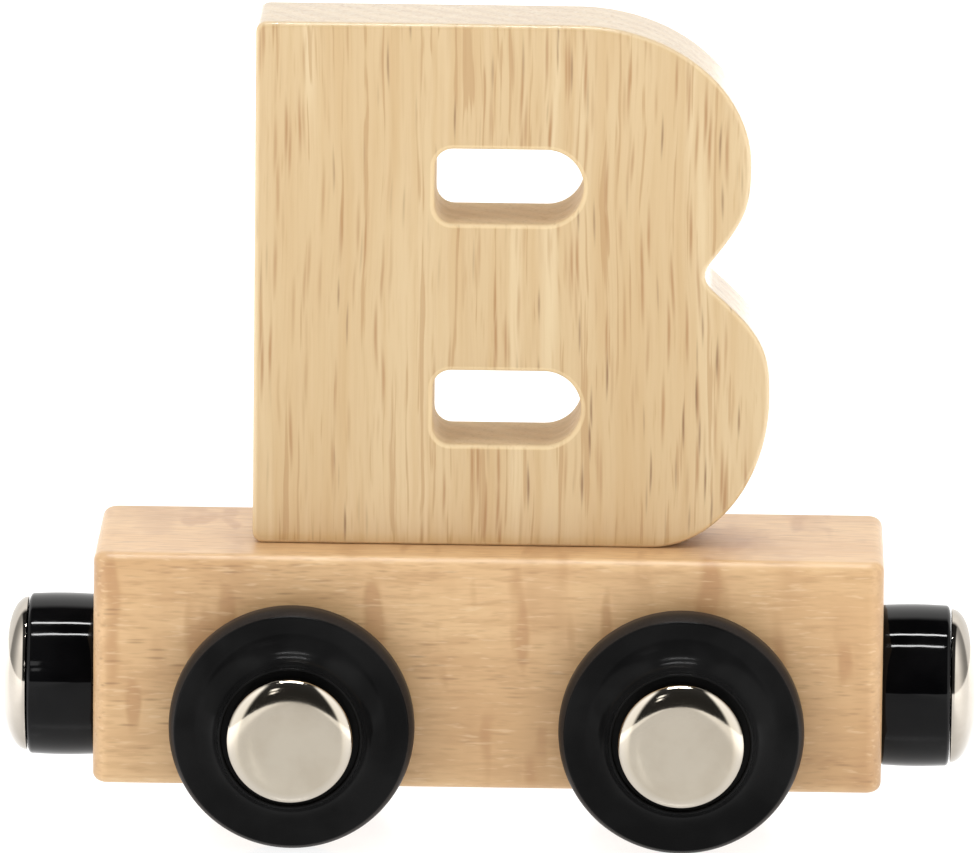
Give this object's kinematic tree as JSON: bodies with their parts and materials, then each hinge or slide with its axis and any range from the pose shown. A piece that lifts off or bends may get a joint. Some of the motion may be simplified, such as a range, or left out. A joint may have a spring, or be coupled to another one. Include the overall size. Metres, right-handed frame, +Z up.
{
  "type": "letter train car",
  "caption": "Wooden toy train car: a block on free-turning black wheels carries a thick wooden letter, with a magnetic coupling dome at each end for joining cars.",
  "frame": {"origin": "on the track surface, under the middle of the block", "axes": "+X along the car towards the front coupling, +Y across the car to its left, +Z up"},
  "size_m": [0.0812, 0.0378, 0.0675],
  "materials": {
    "block_wood": "sanded and lacquered beech, grain along X",
    "letter_wood": "sanded and lacquered beech, grain along Z",
    "dowel_wood": "plain turned wood",
    "wheel_black": "satin moulded",
    "sleeve_black": "gloss moulded",
    "nickel": "polished nickel plating on steel",
    "steel": "plain drawn steel",
    "magnet": "sintered ferrite"
  },
  "bodies": {
    "chassis": {"chassis_block": "block_wood", "letter_b": "letter_wood", "letter_dowel_rear": "dowel_wood", "letter_dowel_front": "dowel_wood", "front_coupler_sleeve": "sleeve_black", "rear_coupler_sleeve": "sleeve_black", "front_coupler_magnet": "magnet", "rear_coupler_magnet": "magnet"},
    "front_axle_set": {"front_axle": "steel", "front_right_cap": "nickel", "front_right_cap_spring": "steel", "front_left_cap": "nickel", "front_left_cap_spring": "steel"},
    "front_right_wheel_body": {"front_right_wheel": "wheel_black"},
    "front_left_wheel_body": {"front_left_wheel": "wheel_black"},
    "front_coupler_head": {"front_coupler_dome": "nickel", "front_coupler_washer": "steel"},
    "rear_axle_set": {"rear_axle": "steel", "rear_right_cap": "nickel", "rear_right_cap_spring": "steel", "rear_left_cap": "nickel", "rear_left_cap_spring": "steel"},
    "rear_right_wheel_body": {"rear_right_wheel": "wheel_black"},
    "rear_left_wheel_body": {"rear_left_wheel": "wheel_black"},
    "rear_coupler_head": {"rear_coupler_dome": "nickel", "rear_coupler_washer": "steel"}
  },
  "joints": [
    {"name": "front_axle_spin", "type": "hinge", "parent": "chassis", "child": "front_axle_set", "pos_m": [0.016, 0, 0.0101], "axis": [0, 1, 0], "continuous": true},
    {"name": "front_right_wheel_spin", "type": "hinge", "parent": "front_axle_set", "child": "front_right_wheel_body", "pos_m": [0.016, 0, 0.0101], "axis": [0, 1, 0], "continuous": true},
    {"name": "front_left_wheel_spin", "type": "hinge", "parent": "front_axle_set", "child": "front_left_wheel_body", "pos_m": [0.016, 0, 0.0101], "axis": [0, 1, 0], "continuous": true},
    {"name": "front_coupler_spin", "type": "hinge", "parent": "chassis", "child": "front_coupler_head", "pos_m": [0.0325, 0, 0.0115], "axis": [1, 0, 0], "continuous": true},
    {"name": "rear_axle_spin", "type": "hinge", "parent": "chassis", "child": "rear_axle_set", "pos_m": [-0.016, 0, 0.0101], "axis": [0, 1, 0], "continuous": true},
    {"name": "rear_right_wheel_spin", "type": "hinge", "parent": "rear_axle_set", "child": "rear_right_wheel_body", "pos_m": [-0.016, 0, 0.0101], "axis": [0, 1, 0], "continuous": true},
    {"name": "rear_left_wheel_spin", "type": "hinge", "parent": "rear_axle_set", "child": "rear_left_wheel_body", "pos_m": [-0.016, 0, 0.0101], "axis": [0, 1, 0], "continuous": true},
    {"name": "rear_coupler_spin", "type": "hinge", "parent": "chassis", "child": "rear_coupler_head", "pos_m": [-0.0325, 0, 0.0115], "axis": [1, 0, 0], "continuous": true}
  ]
}
